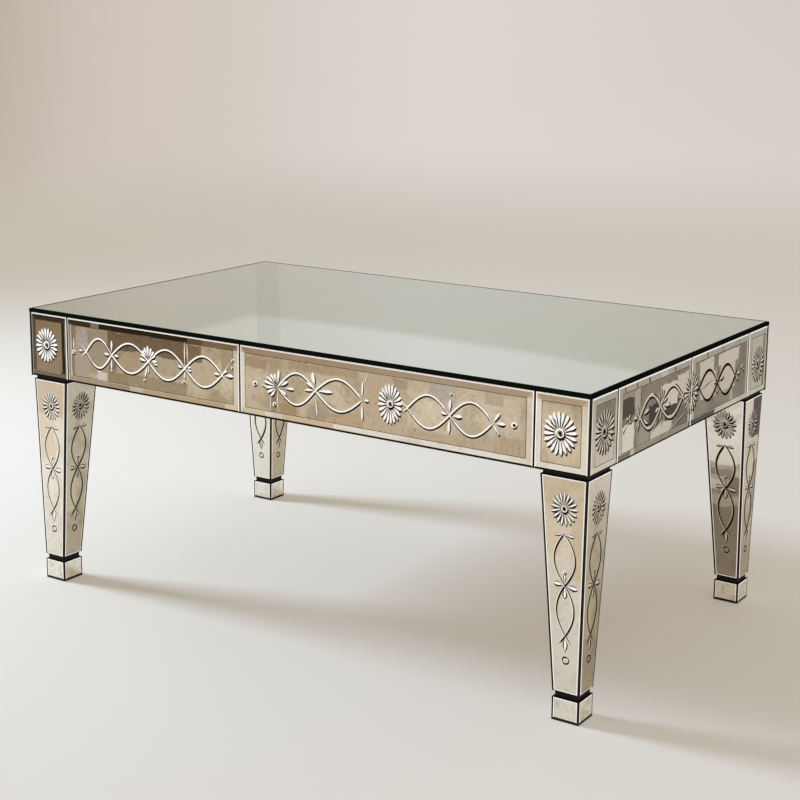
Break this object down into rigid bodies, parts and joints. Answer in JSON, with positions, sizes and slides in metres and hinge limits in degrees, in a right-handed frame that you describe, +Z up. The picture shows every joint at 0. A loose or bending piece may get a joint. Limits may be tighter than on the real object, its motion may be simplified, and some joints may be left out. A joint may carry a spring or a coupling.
{
  "type": "mirrored coffee table",
  "caption": "Low rectangular table clad in antiqued, bevelled and engraved mirror panels on a black wooden carcass, with tapered mirrored legs and small block feet.",
  "frame": {"origin": "on the floor under the middle of the table", "axes": "+X along the length to the right, +Y to the back, +Z up; the front faces -Y"},
  "size_m": [1, 0.6, 0.45],
  "materials": {
    "top_mirror": "silvered glass, polished, black-edged",
    "apron_mirror": "antiqued silvered glass, bevelled and wheel-engraved",
    "leg_mirror": "antiqued silvered glass, wheel-engraved",
    "black_board": "fibreboard, satin black paint",
    "black_wood": "solid wood, satin black paint",
    "softwood": "sawn softwood",
    "beech": "fluted beech dowel",
    "zinc_steel": "zinc plated",
    "insert_brass": "turned brass",
    "glide_plastic": "moulded glide"
  },
  "bodies": {
    "root": {"top_mirror": "top_mirror", "top_board": "black_board", "top_cleats": "softwood", "cross_rail": "softwood", "top_screws": "zinc_steel", "apron_board_front": "black_board", "apron_board_right": "black_board", "apron_board_back": "black_board", "apron_board_left": "black_board", "apron_mirror_front_left_corner": "apron_mirror", "apron_mirror_front_left": "apron_mirror", "apron_mirror_front_right": "apron_mirror", "apron_mirror_front_right_corner": "apron_mirror", "apron_mirror_right_left_corner": "apron_mirror", "apron_mirror_right_left": "apron_mirror", "apron_mirror_right_right": "apron_mirror", "apron_mirror_right_right_corner": "apron_mirror", "apron_mirror_back_left_corner": "apron_mirror", "apron_mirror_back_left": "apron_mirror", "apron_mirror_back_right": "apron_mirror", "apron_mirror_back_right_corner": "apron_mirror", "apron_mirror_left_left_corner": "apron_mirror", "apron_mirror_left_left": "apron_mirror", "apron_mirror_left_right": "apron_mirror", "apron_mirror_left_right_corner": "apron_mirror", "corner_beads": "black_wood", "apron_dowels": "beech", "corner_block_fl": "softwood", "corner_block_fr": "softwood", "corner_block_br": "softwood", "corner_block_bl": "softwood", "block_screws": "zinc_steel", "leg_core_fl": "black_wood", "leg_core_fr": "black_wood", "leg_core_br": "black_wood", "leg_core_bl": "black_wood", "leg_mirror_fl_front": "leg_mirror", "leg_mirror_fl_right": "leg_mirror", "leg_mirror_fl_back": "leg_mirror", "leg_mirror_fl_left": "leg_mirror", "leg_mirror_fr_front": "leg_mirror", "leg_mirror_fr_right": "leg_mirror", "leg_mirror_fr_back": "leg_mirror", "leg_mirror_fr_left": "leg_mirror", "leg_mirror_br_front": "leg_mirror", "leg_mirror_br_right": "leg_mirror", "leg_mirror_br_back": "leg_mirror", "leg_mirror_br_left": "leg_mirror", "leg_mirror_bl_front": "leg_mirror", "leg_mirror_bl_right": "leg_mirror", "leg_mirror_bl_back": "leg_mirror", "leg_mirror_bl_left": "leg_mirror", "foot_mirrors_fl": "leg_mirror", "foot_mirrors_fr": "leg_mirror", "foot_mirrors_br": "leg_mirror", "foot_mirrors_bl": "leg_mirror", "foot_glides": "glide_plastic", "leg_inserts": "insert_brass", "leg_bolts": "zinc_steel", "leg_nuts": "zinc_steel"}
  },
  "joints": []
}
